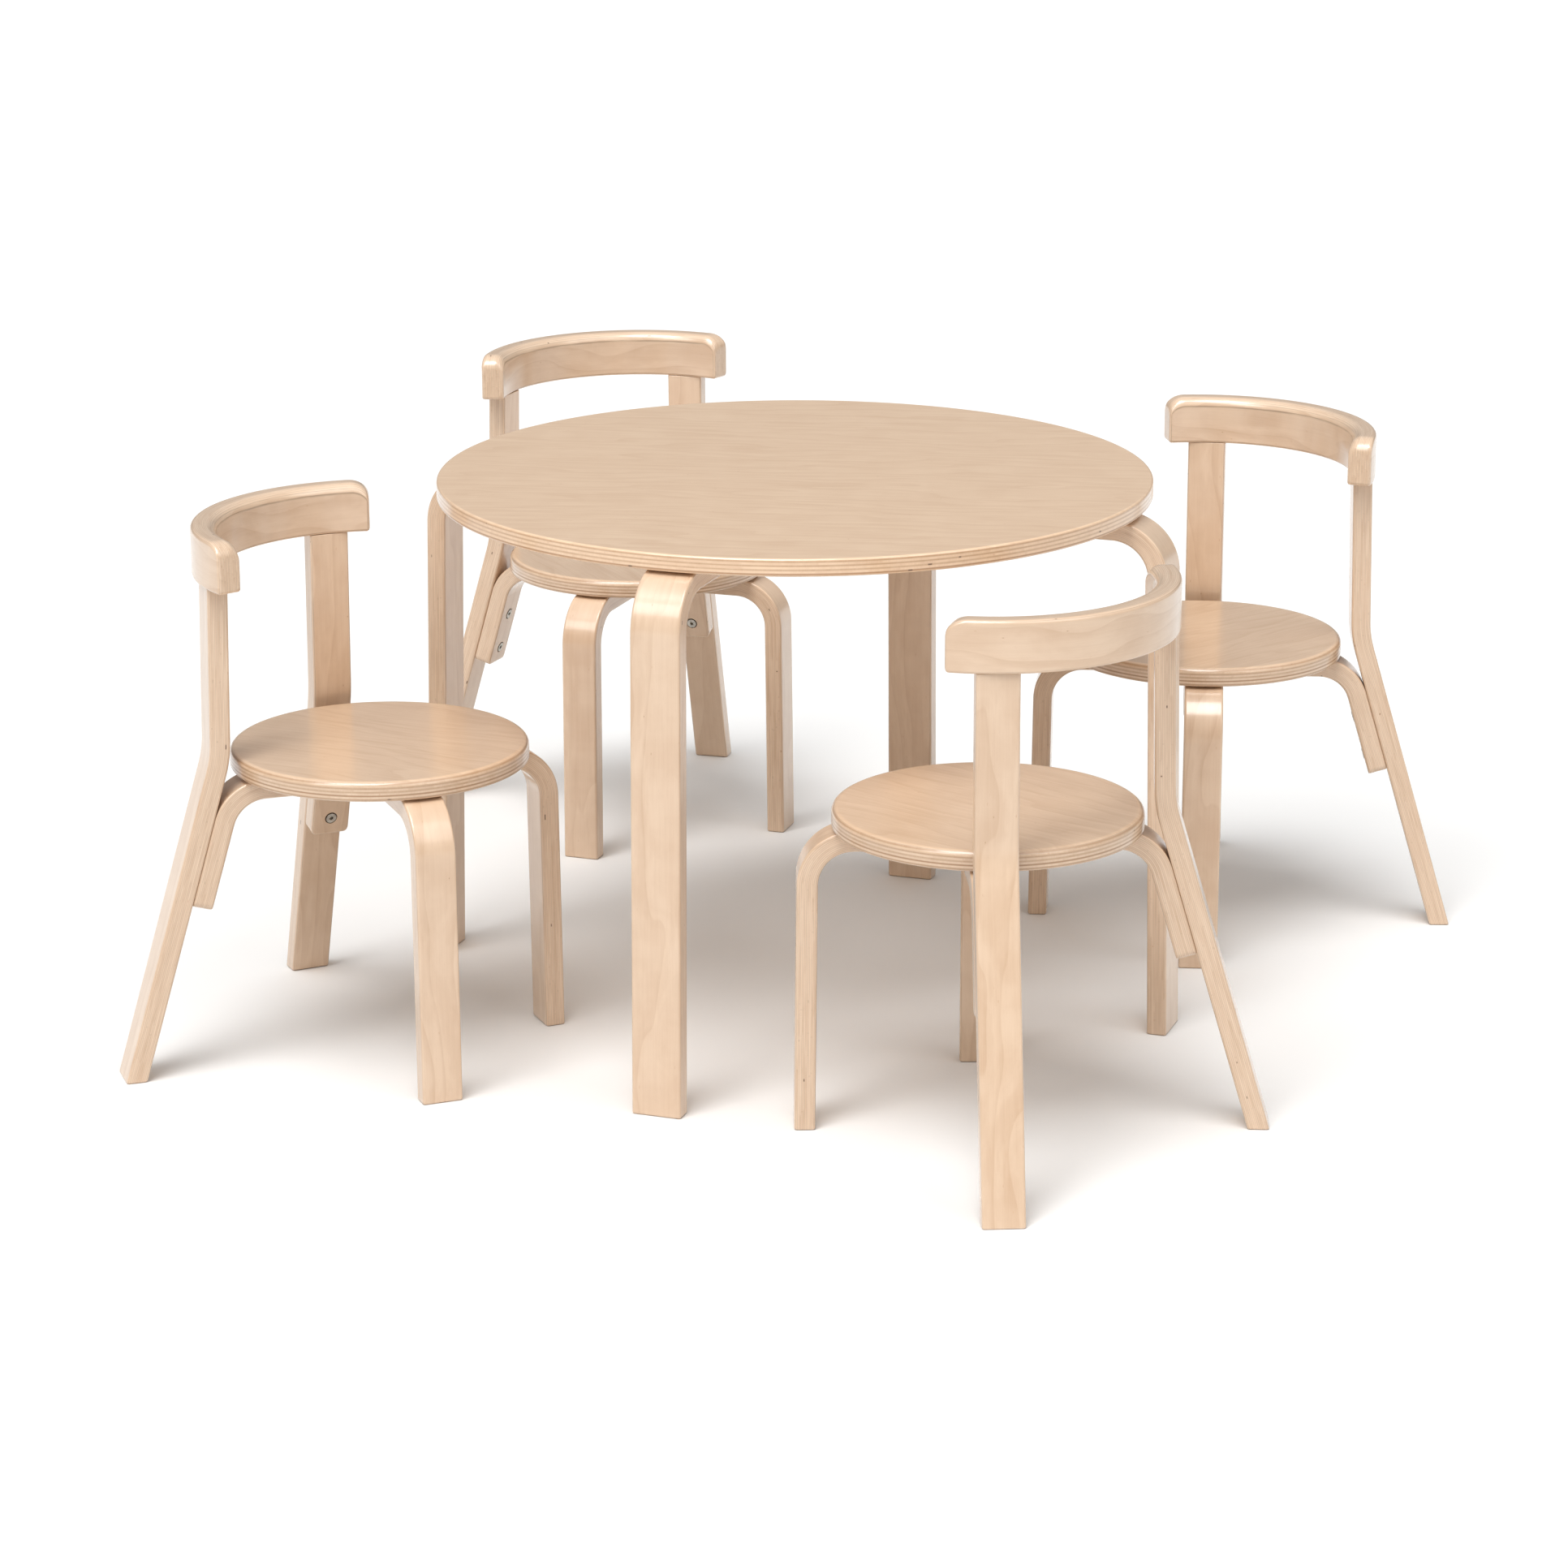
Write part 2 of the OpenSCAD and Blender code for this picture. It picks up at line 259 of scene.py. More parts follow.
def tube(rings):
    """A closed mesh through rings of equally many points, with a flat face on each end."""
    mesh = bmesh.new()
    made = [[mesh.verts.new(p) for p in ring] for ring in rings]
    for ring, following in zip(made, made[1:]):
        for i in range(len(ring)):
            j = (i + 1) % len(ring)
            mesh.faces.new((ring[i], ring[j], following[j], following[i]))
    mesh.faces.new(list(reversed(made[0])))
    mesh.faces.new(made[-1])
    bmesh.ops.recalc_face_normals(mesh, faces=mesh.faces)
    return mesh


def strip_mesh(path, width, thickness, ends, corner=None, level=(False, False)):
    """A bent strip along a side path. ends are the radii of its two rounded ends, corner the radius of
    the last end's corners across the width, and level says which ends are cut level."""
    last = corner or ends[1]
    rings = []
    for u in bend_steps(path, (ends[0], max(ends[1], last))):
        first_gap = u
        last_gap = path.length - u
        across = max(rounding(first_gap, ends[0]), rounding(last_gap, last))
        deep = max(rounding(first_gap, ends[0]), rounding(last_gap, ends[1]))
        ease = max(STRIP_EASE - max(deep, min(across, STRIP_EASE)) * 0.5, LEAST_EASE)
        low, high = (-width / 2 + across, deep), (width / 2 - across, thickness - deep)
        section = rounded_rectangle(low, high, [ease] * 4)
        place, along, inward = path.at(u)
        near_end = path.length / 4
        sheared = (level[0] and first_gap < near_end) or (level[1] and last_gap < near_end)
        ring = []
        for v, w in section:
            point = place + inward * w
            if sheared:
                point -= along * (inward.y * w / along.y)
            ring.append((point.x, v, point.y))
        rings.append(ring)
    return tube(rings)


def drilled(mesh, holes):
    """The mesh with round holes cut in it, each (matrix of the hole's mouth, radius, depth)."""
    body = bpy.data.meshes.new("body")
    mesh.to_mesh(body)
    mesh.free()
    if not holes:
        return body
    cutter_mesh = bmesh.new()
    for place, radius, depth in holes:
        bmesh.ops.create_cone(
            cutter_mesh,
            cap_ends=True,
            segments=40,
            radius1=radius,
            radius2=radius,
            depth=depth + MM,
            matrix=place @ Matrix.Translation((0, 0, depth / 2 - 0.5 * MM)),
        )
    cutter_data = bpy.data.meshes.new("cutter")
    cutter_mesh.to_mesh(cutter_data)
    cutter_mesh.free()
    target = bpy.data.objects.new("target", body)
    cutter = bpy.data.objects.new("cutter", cutter_data)
    for made in (target, cutter):
        bpy.context.scene.collection.objects.link(made)
    cut = target.modifiers.new("holes", "BOOLEAN")
    cut.object = cutter
    cut.operation = "DIFFERENCE"
    cut.solver = "EXACT"
    graph = bpy.context.evaluated_depsgraph_get()
    result = bpy.data.meshes.new_from_object(target.evaluated_get(graph))
    for made, data in ((target, body), (cutter, cutter_data)):
        bpy.data.objects.remove(made)
        bpy.data.meshes.remove(data)
    return result


def disc_mesh(radius, thickness, upper, lower, segments):
    """A round board about the Z axis from z = 0 up. upper and lower are the radii of its edges."""
    profile = []
    for first, ease, centre in ((-90, lower, lower), (0, upper, thickness - upper)):
        for k in range(EDGE_RINGS + 1):
            a = math.radians(first + 90 * k / EDGE_RINGS)
            profile.append((radius - ease + ease * math.cos(a), centre + ease * math.sin(a)))
    rings = []
    for r, z in profile:
        rings.append([
            (r * math.cos(math.tau * i / segments), r * math.sin(math.tau * i / segments), z)
            for i in range(segments)
        ])
    return tube(rings)


def bow_mesh():
    """The backrest: a bow round the seat's axis, with rounded upper corners at its ends."""
    length = BACK_ARC * BACK_R
    steps = set()
    for i in range(BOW_RINGS + 1):
        u = length * i / BOW_RINGS
        if BACK_END_CORNER_L < u < length - BACK_END_CORNER_L:
            steps.add(u)
    for k in range(BOW_END_RINGS + 1):
        away = 1 - math.cos(k / BOW_END_RINGS * math.pi / 2)
        for radius in (BACK_END_EASE, BACK_END_CORNER_L):
            steps.add(radius * away)
            steps.add(length - radius * away)
    rings = []
    for u in sorted(steps):
        gap = min(u, length - u)
        side, bottom = rounding(gap, BACK_END_EASE), rounding(gap, BACK_FOOT_EASE)
        top = rounding(gap, BACK_END_CORNER_L) * BACK_END_CORNER_H / BACK_END_CORNER_L
        low = (BACK_R - BACK_T + side, bottom)
        high = (BACK_R - side, BACK_W - top)
        section = rounded_rectangle(low, high, BACK_SECTION_EASES, arc=7)
        a = math.pi - BACK_ARC / 2 + u / BACK_R
        rings.append([(r * math.cos(a), r * math.sin(a), BACK_H + z) for r, z in section])
    return tube(rings)


def disc_grain(thickness, direction):
    """Places in a round board whose face grain runs along a direction."""
    c, s = math.cos(direction), math.sin(direction)
    return lambda p: (p.x * c + p.y * s, p.y * c - p.x * s, thickness - p.z)


def strip_grain(path):
    """Places in a bent strip: along its side path, across its width and down through its thickness."""

    def place(p):
        u, w = path.locate(p.x, p.z)
        return u, p.y, w

    return place


def bow_grain(p):
    """Places in the backrest: round its bow, up its height and in from its outer face."""
    angle = math.atan2(p.y, p.x) % math.tau
    return angle * BACK_R, p.z - BACK_H, BACK_R - math.hypot(p.x, p.y)


def give_grain(data, coordinates, seed):
    """Writes each vertex's place in the wood. Every piece is cut from another part of the tree, so a
    random distance of its own is added along and across the grain."""
    chance = random.Random(seed)
    shift = (chance.uniform(0, 8), chance.uniform(0, 8))
    attribute = data.attributes.new("grain", "FLOAT_VECTOR", "POINT")
    for vertex, value in zip(data.vertices, attribute.data):
        u, v, w = coordinates(vertex.co)
        value.vector = (u + shift[0], v + shift[1], w)


def finished(name, data, material, body, place):
    """A piece of the object in place of its CAD node, riding on its body."""
    for face in data.polygons:
        face.use_smooth = True
    data.transform(place)
    data.materials.clear()
    data.materials.append(material)
    piece = bpy.data.objects.new(name + "_wood", data)
    bpy.context.scene.collection.objects.link(piece)
    normals = piece.modifiers.new("normals", "WEIGHTED_NORMAL")
    normals.weight = 80
    normals.keep_sharp = True
    data.set_sharp_from_angle(angle=math.radians(50))
    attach(piece, body)
    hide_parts(name)


# Materials ----------------------------------------------------------------------------------------


class Tree:
    """A short way to write shader nodes: each call adds a node and returns its output."""

    def __init__(self, name):
        self.material = bpy.data.materials.new(name)
        self.material.use_nodes = True
        self.nodes = self.material.node_tree.nodes
        self.links = self.material.node_tree.links
        self.shader = next(n for n in self.nodes if n.type == "BSDF_PRINCIPLED")

    def put(self, socket, value):
        if isinstance(value, bpy.types.NodeSocket):
            self.links.new(value, socket)
        else:
            socket.default_value = value

    def math(self, operation, a, b=0.0, c=0.0):
        node = self.nodes.new("ShaderNodeMath")
        node.operation = operation
        for socket, value in zip(node.inputs, (a, b, c)):
            self.put(socket, value)
        return node.outputs[0]

    def join(self, x, y, z):
        node = self.nodes.new("ShaderNodeCombineXYZ")
        for socket, value in zip(node.inputs, (x, y, z)):
            self.put(socket, value)
        return node.outputs[0]

    def split(self, vector):
        node = self.nodes.new("ShaderNodeSeparateXYZ")
        self.put(node.inputs[0], vector)
        return node.outputs

    def noise(self, vector, scale=1.0, detail=2.0, rough=0.5):
        node = self.nodes.new("ShaderNodeTexNoise")
        self.put(node.inputs["Vector"], vector)
        node.inputs["Scale"].default_value = scale
        node.inputs["Detail"].default_value = detail
        node.inputs["Roughness"].default_value = rough
        return node.outputs["Fac"]

    def white(self, value):
        node = self.nodes.new("ShaderNodeTexWhiteNoise")
        node.noise_dimensions = "1D"
        self.put(node.inputs["W"], value)
        return node.outputs["Value"]

    def cells(self, vector):
        node = self.nodes.new("ShaderNodeTexVoronoi")
        self.put(node.inputs["Vector"], vector)
        return node.outputs["Distance"], node.outputs["Color"]

    def ramp(self, value, low, high, bottom=0.0, top=1.0):
        node = self.nodes.new("ShaderNodeMapRange")
        node.interpolation_type = "SMOOTHSTEP"
        for socket, given in zip(node.inputs, (value, low, high, bottom, top)):
            self.put(socket, given)
        return node.outputs[0]

    def blend(self, factor, a, b):
        node = self.nodes.new("ShaderNodeMix")
        node.data_type = "RGBA"
        self.put(node.inputs["Factor"], factor)
        colours = [s for s in node.inputs if s.type == "RGBA"]
        for socket, value in zip(colours, (a, b)):
            self.put(socket, (*value, 1) if isinstance(value, tuple) else value)
        return next(s for s in node.outputs if s.type == "RGBA")

    def bump(self, height, strength, distance):
        node = self.nodes.new("ShaderNodeBump")
        node.inputs["Strength"].default_value = strength
        node.inputs["Distance"].default_value = distance
        self.put(node.inputs["Height"], height)
        self.put(self.shader.inputs["Normal"], node.outputs[0])

    def place(self):
        return self.nodes.new("ShaderNodeTexCoord").outputs["Object"]

    def attribute(self, name):
        node = self.nodes.new("ShaderNodeAttribute")
        node.attribute_name = name
        return node.outputs["Vector"]


# Sizes of the birch's figure in millimetres, along the grain and across it
WANDER = (330, 75)
FIBRES = (42, 0.9)
STREAKS = (120, 4.5)
MOTTLE = (52, 24)
PORES = (5.5, 0.42)
GLUE_STRETCHES = (60, 60)
FLECKS = (17, 17)
KNOT_CELLS = (62, 21)
BAND = 26
WANDER_REACH = 150.0
FACE_INSET = 0.45

# How much each part of the figure darkens the wood
BAND_TONE = 0.42
GRAIN_TONE = 0.30
LAYER_TONE = 0.22
PALEST = 0.10

# The deep wood colour times these gives the darker parts; flecks and knots have colours of their own
END_GRAIN = (0.62, 0.50, 0.40)
PORE = (0.66, 0.66, 0.66)
GLUE = (0.36, 0.36, 0.36)
KNOT_HALO = (0.86, 0.70, 0.58)
FLECK_COLOUR = (0.150, 0.080, 0.045)
KNOT_COLOUR = (0.11, 0.055, 0.03)

# Share of a layer that its glue line takes, share of the cells that have no knot, and the layer from
# which no flecks show, because the backrest's inner face lies in layer 15
GLUE_LINE = 0.14
KNOTLESS = 0.90
FLECKLESS = 14

# Marks to a metre on the metals and the dowels
METAL_SCALE = 2600
METAL_DULLED = (0.72, 0.72, 0.72)
DOWEL_SCALES = (1800, 1800, 60)


def shaded(colour, factors):
    """A colour with its red, green and blue each times a factor."""
    return tuple(c * k for c, k in zip(colour, factors))


def birch(name, layer, crossed, figure, cloud, pale, deep, glue_dark):
    """Lacquered birch in layers. crossed turns the grain of every other layer, as in plywood, where
    those layers show their darker end grain round the rim. figure is the strength of the grain's
    lines, cloud that of the soft patches and glue_dark that of the glue lines."""
    t = Tree(name)
    u, v, w = (t.math("MULTIPLY", s, 1 / MM) for s in t.split(t.attribute("grain")))

    # Layers, counted from just above the outer face, so that no line falls on a face
    layers = t.math("DIVIDE", t.math("ADD", w, FACE_INSET), layer / MM)
    number = t.math("FLOOR", layers)
    within = t.math("FRACT", layers)
    middle = t.ramp(t.math("ABSOLUTE", t.math("SUBTRACT", within, 0.5)), 0.22, 0.46, 1, 0)
    odd = t.math("MODULO", t.math("ABSOLUTE", number), 2)
    chance = t.white(t.math("ADD", number, 0.5))
    if crossed:
        gap = t.math("SUBTRACT", v, u)
        u, v = t.math("MULTIPLY_ADD", odd, gap, u), t.math("SUBTRACT", v, t.math("MULTIPLY", odd, gap))
    u = t.math("MULTIPLY_ADD", chance, 900.0, u)
    v = t.math("MULTIPLY_ADD", chance, 700.0, v)

    def places(size, across, depth=number):
        """Texture places in steps of a size along and across the grain, different in each layer."""
        return t.join(t.math("DIVIDE", u, size[0]), t.math("DIVIDE", across, size[1]), depth)

    # Growth bands that wander along the grain, fine fibres, streaks and soft mottling
    wander = t.noise(places(WANDER, v), 1, 2, 0.5)
    bent_v = t.math("MULTIPLY_ADD", wander, WANDER_REACH, v)
    bands = t.math("FRACT", t.math("DIVIDE", bent_v, BAND))
    bands = t.math("MULTIPLY", t.math("POWER", bands, 3.2), t.ramp(bands, 0.955, 1.0, 1, 0))
    fibres = t.noise(places(FIBRES, v), 1, 3, 0.6)
    streaks = t.noise(places(STREAKS, v), 1, 2, 0.55)
    mottle = t.noise(places(MOTTLE, bent_v), 1, 3, 0.55)
    tone = t.math("MULTIPLY", bands, BAND_TONE)
    tone = t.math("MULTIPLY_ADD", t.ramp(fibres, 0.3, 0.7), GRAIN_TONE * figure, tone)
    tone = t.math("MULTIPLY_ADD", t.ramp(streaks, 0.35, 0.7), GRAIN_TONE * figure, tone)
    tone = t.math("MULTIPLY_ADD", t.ramp(mottle, 0.32, 0.68), cloud, tone)
    tone = t.math("MULTIPLY_ADD", chance, LAYER_TONE, tone)
    colour = t.blend(t.math("SUBTRACT", tone, PALEST), pale, deep)

    # Darker end grain in every other veneer of plywood, some more than others
    if crossed:
        strength = t.math("MULTIPLY_ADD", t.white(t.math("ADD", number, 20.5)), 0.70, 0.30)
        fade = t.math("MULTIPLY", t.math("MULTIPLY", odd, middle), strength)
        colour = t.blend(fade, colour, shaded(deep, END_GRAIN))

    # Pores: short dark dashes along the grain
    pores = t.noise(places(PORES, v), 1, 1, 0.5)
    colour = t.blend(t.ramp(pores, 0.66, 0.80, 0, 0.26), colour, shaded(deep, PORE))

    # Glue lines between the layers, which fade and darken along their way
    near = t.math("MINIMUM", within, t.math("SUBTRACT", 1.0, within))
    along = t.noise(places(GLUE_STRETCHES, v), 1, 2, 0.6)
    glue = t.math("MULTIPLY", t.ramp(near, 0.0, GLUE_LINE, 1, 0), t.ramp(along, 0.30, 0.68, 0.25, 1.0))
    colour = t.blend(t.math("MULTIPLY", glue, glue_dark), colour, shaded(deep, GLUE))

    # Small gaps and bark flecks in every other veneer, seen where a rim or an edge cuts it
    torn = t.noise(places(FLECKS, v, t.math("MULTIPLY", number, 3.7)), 1, 1, 0.5)
    fleck = t.math("MULTIPLY", t.ramp(torn, 0.74, 0.77), t.math("MULTIPLY", odd, middle))
    fleck = t.math("MULTIPLY", fleck, t.math("LESS_THAN", number, FLECKLESS))
    colour = t.blend(t.math("MULTIPLY", fleck, 0.85), colour, FLECK_COLOUR)

    # Pin knots with a soft halo, few and far between
    far_cell, far_colour = t.cells(places(KNOT_CELLS, v))
    rare = t.math("GREATER_THAN", t.split(far_colour)[0], KNOTLESS)
    spot = t.math("MULTIPLY", t.ramp(far_cell, 0.025, 0.060, 1, 0), rare)
    halo = t.math("MULTIPLY", t.ramp(far_cell, 0.05, 0.20, 0.35, 0), rare)
    colour = t.blend(halo, colour, shaded(deep, KNOT_HALO))
    colour = t.blend(t.math("MULTIPLY", spot, 0.8), colour, KNOT_COLOUR)
    t.put(t.shader.inputs["Base Color"], colour)

    # Clear lacquer over slightly uneven wood
    rough = t.math("MULTIPLY_ADD", fibres, 0.12, 0.30)
    t.put(t.shader.inputs["Roughness"], t.math("ADD", rough, t.math("MULTIPLY", glue, 0.12)))
    t.shader.inputs["IOR"].default_value = 1.5
    t.shader.inputs["Coat Weight"].default_value = 1.0
    t.shader.inputs["Coat IOR"].default_value = 1.55
    t.shader.inputs["Coat Roughness"].default_value = 0.18
    height = t.math("MULTIPLY_ADD", fibres, 0.6, t.math("MULTIPLY", glue, -0.5))
    height = t.math("SUBTRACT", height, t.math("MULTIPLY", pores, 0.3))
    t.bump(t.math("SUBTRACT", height, spot), 0.3, 0.05 * MM)
    return t.material


def plain_metal(name, colour, rough):
    """Plated steel or brass with fine marks and a little dulling."""
    t = Tree(name)
    place = t.place()
    fine = t.noise(place, METAL_SCALE, 3, 0.6)
    cloudy = t.noise(place, METAL_SCALE / 14, 2, 0.5)
    dull = t.blend(t.ramp(cloudy, 0.35, 0.7), colour, shaded(colour, METAL_DULLED))
    t.put(t.shader.inputs["Base Color"], dull)
    t.shader.inputs["Metallic"].default_value = 1
    t.put(t.shader.inputs["Roughness"], t.math("MULTIPLY_ADD", fine, 0.25, rough))
    t.bump(fine, 0.3, 0.04 * MM)
    return t.material


def dowel_beech(name):
    """Turned dowel wood with fine straight fibres up its length."""
    t = Tree(name)
    stretched = [t.math("MULTIPLY", s, scale) for s, scale in zip(t.split(t.place()), DOWEL_SCALES)]
    fibres = t.noise(t.join(*stretched), 1, 3)
    t.put(t.shader.inputs["Base Color"], t.blend(fibres, (0.62, 0.42, 0.26), (0.50, 0.31, 0.18)))
    t.put(t.shader.inputs["Roughness"], t.math("MULTIPLY_ADD", fibres, 0.2, 0.5))
    t.bump(fibres, 0.3, 0.1 * MM)
    return t.material


bent_birch = birch(
    "bent_birch",
    layer=BENT_LAYER,
    crossed=False,
    figure=0.45,
    cloud=0.40,
    pale=(0.756, 0.581, 0.432),
    deep=(0.626, 0.443, 0.305),
    glue_dark=0.66,
)
table_ply = birch(
    "table_plywood",
    layer=TABLE_PLY_LAYER,
    crossed=True,
    figure=0.95,
    cloud=0.28,
    pale=(0.862, 0.646, 0.456),
    deep=(0.744, 0.524, 0.352),
    glue_dark=0.36,
)
seat_ply = birch(
    "seat_plywood",
    layer=SEAT_PLY_LAYER,
    crossed=True,
    figure=0.95,
    cloud=0.30,
    pale=(0.742, 0.563, 0.411),
    deep=(0.626, 0.446, 0.306),
    glue_dark=0.56,
)
zinc = plain_metal("zinc", (0.62, 0.60, 0.55), 0.24)
brass = plain_metal("brass", (0.72, 0.55, 0.28), 0.30)
dowel_wood = dowel_beech("dowel_wood")


# The table ----------------------------------------------------------------------------------------


def turn_z(angle):
    """A turn about the upright axis through the origin."""
    return Matrix.Rotation(angle, 4, "Z")


def screw_mouths(steps, under):
    """Where the screws' heads lie in the underside of an arm, which points along X."""
    return [(Matrix.Translation((step, 0, under)), SCREW_HOLE_R, SCREW_HOLE_DEPTH) for step in steps]


def make_table():
    place = Matrix.Translation((table_axis.x, table_axis.y, table_low.z))
    data = drilled(disc_mesh(table_r, table_t, TABLE_EDGE, TABLE_EDGE, TOP_SEGMENTS), [])
    give_grain(data, disc_grain(table_t, TOP_GRAIN), "table_top")
    finished("table_top", data, table_ply, "table", place)

    path = l_path(TABLE_LEG_REACH, table_bend_z, TABLE_ARM_START, TABLE_LEG_BEND, TABLE_LEG_LEAN)
    ends = (FOOT_EASE, FOOT_EASE)
    axis = Matrix.Translation((table_axis.x, table_axis.y, 0))
    for n in range(4):
        name = f"table_leg_{n + 1}"
        turn = turn_z(TABLE_LEG_TURN + n * math.pi / 2)
        mesh = strip_mesh(path, TABLE_LEG_W, TABLE_LEG_T, ends, level=(False, True))
        data = drilled(mesh, screw_mouths(TABLE_SCREW_STEPS, table_h - table_t - TABLE_LEG_T))
        give_grain(data, strip_grain(path), name)
        finished(name, data, bent_birch, "table", axis @ turn)


# The chairs ---------------------------------------------------------------------------------------


def at_rear(side):
    """Where a strip drawn along X goes at the back of the seat, side 1 on the left and -1 on the right."""
    return turn_z(side * (math.pi - REAR_TURN)) @ Matrix.Translation((0, -side * REAR_OFFSET, 0))


def bracket_parts():
    """The side path of a rear bracket and the mouths of its bolts' recesses."""
    distance = KINK_REACH * math.cos(splay) + KINK_H * math.sin(splay)
    bend_x = (distance - STRIP_T - STRIP_BEND - chair_bend_z * math.sin(splay)) / math.cos(splay)
    quarter = math.pi / 2 - splay
    arm = bend_x - ARM_START
    start = (ARM_START, chair_bend_z + STRIP_BEND)
    path = SidePath(start, 0, [(arm, 0), (STRIP_BEND * quarter, -quarter), (BRACKET_LEG, 0)])
    mouths = []
    for step in BOLT_STEPS:
        place, along, inward = path.at(path.length - step)
        point = place + inward * STRIP_T
        facing = Vector((-inward.x, 0, -inward.y)).to_track_quat("Z", "Y").to_matrix().to_4x4()
        mouths.append((Matrix.Translation((point.x, 0, point.y)) @ facing, RECESS_R, RECESS_DEPTH))
    return path, mouths


def long_leg_path():
    """From the backrest down to the floor, with a gentle bend above the seat."""
    tangent = KINK_BEND * math.tan((splay - BACK_LEAN) / 2)
    upper = (BACK_H - KINK_H) / math.cos(BACK_LEAN) - tangent
    lower = KINK_H / math.cos(splay) - tangent
    start = (KINK_REACH - (BACK_H - KINK_H) * math.tan(BACK_LEAN), BACK_H)
    turn = splay - BACK_LEAN
    return SidePath(start, BACK_LEAN - math.pi / 2, [(upper, 0), (KINK_BEND * turn, turn), (lower, 0)])


def chair_place(n):
    """Where a chair stands and which way it faces, from its seat's box and its slide's direction."""
    low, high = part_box(f"chair_{n}_seat")
    slide = next(j for j in frame["joints"] if j["child"] == f"chair_{n}")
    facing = math.atan2(-slide["axis"][1], -slide["axis"][0])
    return Matrix.Translation(((low[0] + high[0]) / 2, (low[1] + high[1]) / 2, 0)) @ turn_z(facing)


def make_chair(n):
    body = f"chair_{n}"
    chair = chair_place(n)
    under = seat_h - seat_t - STRIP_T

    def add(part, mesh, grain, place, holes=(), material=bent_birch):
        name = f"{body}_{part}"
        data = drilled(mesh, holes)
        give_grain(data, grain, name)
        finished(name, data, material, body, chair @ place)

    seat = disc_mesh(seat_r, seat_t, SEAT_UPPER_EDGE, SEAT_LOWER_EDGE, SEAT_SEGMENTS)
    seat_grain = disc_grain(seat_t, random.Random(body).uniform(-SEAT_GRAIN, SEAT_GRAIN))
    seat_place = Matrix.Translation((0, 0, seat_low.z))
    add("seat", seat, seat_grain, seat_place, material=seat_ply)
    add("backrest", bow_mesh(), bow_grain, Matrix.Identity(4))

    front = l_path(FRONT_REACH, chair_bend_z, ARM_START, STRIP_BEND, FRONT_LEAN)
    bracket, bolt_mouths = bracket_parts()
    long_leg = long_leg_path()
    screws = screw_mouths(SEAT_SCREW_STEPS, under)
    ends = (FOOT_EASE, FOOT_EASE)
    for side_name, side in SIDES.items():
        leg = strip_mesh(front, STRIP_W, STRIP_T, ends, level=(False, True))
        add(f"front_leg_{side_name}", leg, strip_grain(front), turn_z(side * FRONT_TURN), screws)
        short = strip_mesh(bracket, STRIP_W, STRIP_T, ends, corner=BRACKET_CORNER)
        add(f"rear_bracket_{side_name}", short, strip_grain(bracket), at_rear(side), screws + bolt_mouths)
        tall = strip_mesh(long_leg, STRIP_W, STRIP_T, (LEAST_EASE, FOOT_EASE), level=(True, True))
        add(f"long_leg_{side_name}", tall, strip_grain(long_leg), at_rear(side))


def finish_fasteners():
    """The fasteners keep their CAD shapes and get their metals and wood."""
    for name, node in frame["nodes"].items():
        if name.endswith(("bolts", "screws")):
            finish = zinc
        elif name.endswith("inserts"):
            finish = brass
        elif name.endswith("dowels"):
            finish = dowel_wood
        else:
            continue
        for slot in node.material_slots:
            slot.material = finish


# Studio -------------------------------------------------------------------------------------------

FLOOR_HALF = 30.0
CAMERA_PITCH = math.radians(16.736)
CAMERA_YAW = math.radians(-0.149)
CAMERA_ROLL = math.radians(-0.137)
CAMERA_BACK = 4.6088
CAMERA_H = 1.6139
CAMERA_LENS = 103.24


def make_floor():
    """A plain pale floor, far larger than what any view shows."""
    t = Tree("studio_floor")
    soft = t.noise(t.place(), 1.2, 2, 0.5)
    t.put(t.shader.inputs["Base Color"], t.blend(soft, (0.82, 0.82, 0.815), (0.80, 0.80, 0.795)))
    t.shader.inputs["Roughness"].default_value = 0.7
    data = bpy.data.meshes.new("floor")
    corners = [(x * FLOOR_HALF, y * FLOOR_HALF, 0) for x, y in ((-1, -1), (1, -1), (1, 1), (-1, 1))]
    data.from_pydata(corners, [], [(0, 1, 2, 3)])
    data.materials.append(t.material)
    floor = bpy.data.objects.new("floor", data)
    bpy.context.scene.collection.objects.link(floor)


def soft_light(name, azimuth, elevation, spread, strength):
    """Soft even light from one side, all in degrees: azimuth 0 is in front and 90 on the right, and
    spread is how wide the light looks from the object."""
    light = bpy.data.lights.new(name, "SUN")
    light.energy = strength
    light.angle = math.radians(spread)
    a, e = math.radians(azimuth), math.radians(elevation)
    back = Vector((math.sin(a) * math.cos(e), -math.cos(a) * math.cos(e), math.sin(e)))
    lamp = bpy.data.objects.new(name, light)
    lamp.rotation_mode = "QUATERNION"
    lamp.rotation_quaternion = back.to_track_quat("Z", "Y")
    bpy.context.scene.collection.objects.link(lamp)


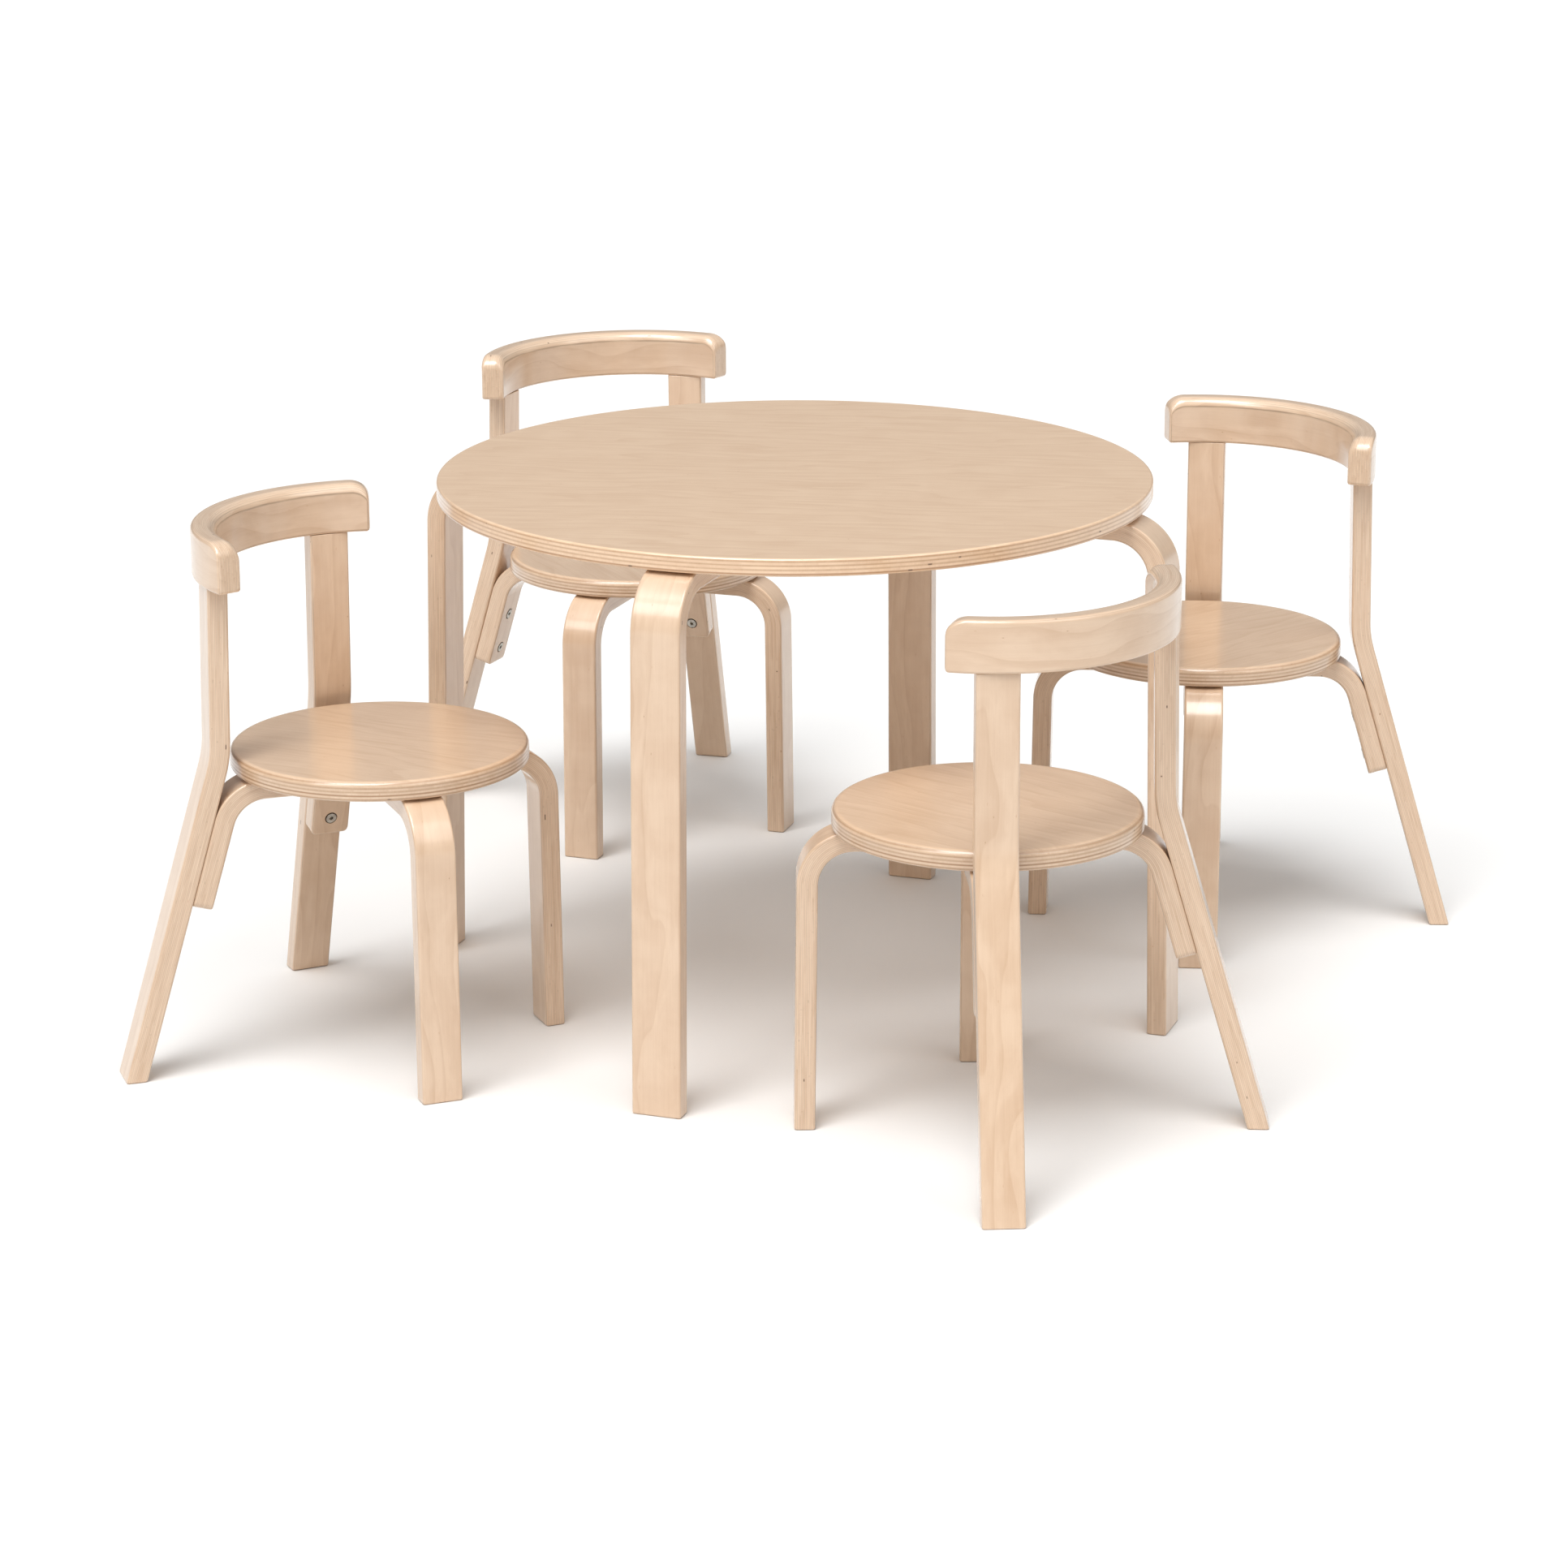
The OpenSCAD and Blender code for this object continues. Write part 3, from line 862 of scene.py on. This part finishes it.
def make_sky(horizon, zenith):
    """Plain white light from all round, brighter overhead than at the horizon."""
    world = bpy.data.worlds.new("studio")
    world.use_nodes = True
    nodes, links = world.node_tree.nodes, world.node_tree.links
    direction = nodes.new("ShaderNodeTexCoord")
    height = nodes.new("ShaderNodeSeparateXYZ")
    strength = nodes.new("ShaderNodeMapRange")
    links.new(direction.outputs["Generated"], height.inputs[0])
    links.new(height.outputs["Z"], strength.inputs["Value"])
    strength.inputs["To Min"].default_value = horizon
    strength.inputs["To Max"].default_value = zenith
    links.new(strength.outputs[0], nodes["Background"].inputs["Strength"])
    nodes["Background"].inputs["Color"].default_value = (1, 1, 1, 1)
    bpy.context.scene.world = world


def make_studio():
    """The floor, the light, and a tone curve with a little contrast."""
    make_floor()
    make_sky(0.13, 0.57)
    soft_light("key", -24, 68, 34, 1.88)
    soft_light("left", -40, 42, 24, 0.52)
    soft_light("right", 50, 42, 40, 0.46)
    bpy.context.scene.view_settings.view_transform = "Standard"
    bpy.context.scene.view_settings.look = "Medium High Contrast"


def make_camera():
    """The camera stands in front of the table and looks a little down at it."""
    forward = Vector((math.sin(CAMERA_YAW), math.cos(CAMERA_YAW), 0))
    ahead = forward * math.cos(CAMERA_PITCH) - Vector((0, 0, math.sin(CAMERA_PITCH)))
    level = Vector((math.cos(CAMERA_YAW), -math.sin(CAMERA_YAW), 0))
    upright = level.cross(ahead)
    right = level * math.cos(CAMERA_ROLL) + upright * math.sin(CAMERA_ROLL)
    up = upright * math.cos(CAMERA_ROLL) - level * math.sin(CAMERA_ROLL)
    data = bpy.data.cameras.new("camera")
    data.sensor_width = 36
    data.lens = CAMERA_LENS
    camera = bpy.data.objects.new("camera", data)
    rotation = Matrix((right, up, -ahead)).transposed().to_4x4()
    place = Matrix.Translation((table_axis.x, table_axis.y - CAMERA_BACK, CAMERA_H))
    camera.matrix_world = place @ rotation
    bpy.context.scene.collection.objects.link(camera)
    bpy.context.scene.camera = camera


make_camera()
make_table()
for chair_number in CHAIRS:
    make_chair(chair_number)
finish_fasteners()
make_studio()

bpy.context.view_layer.update()
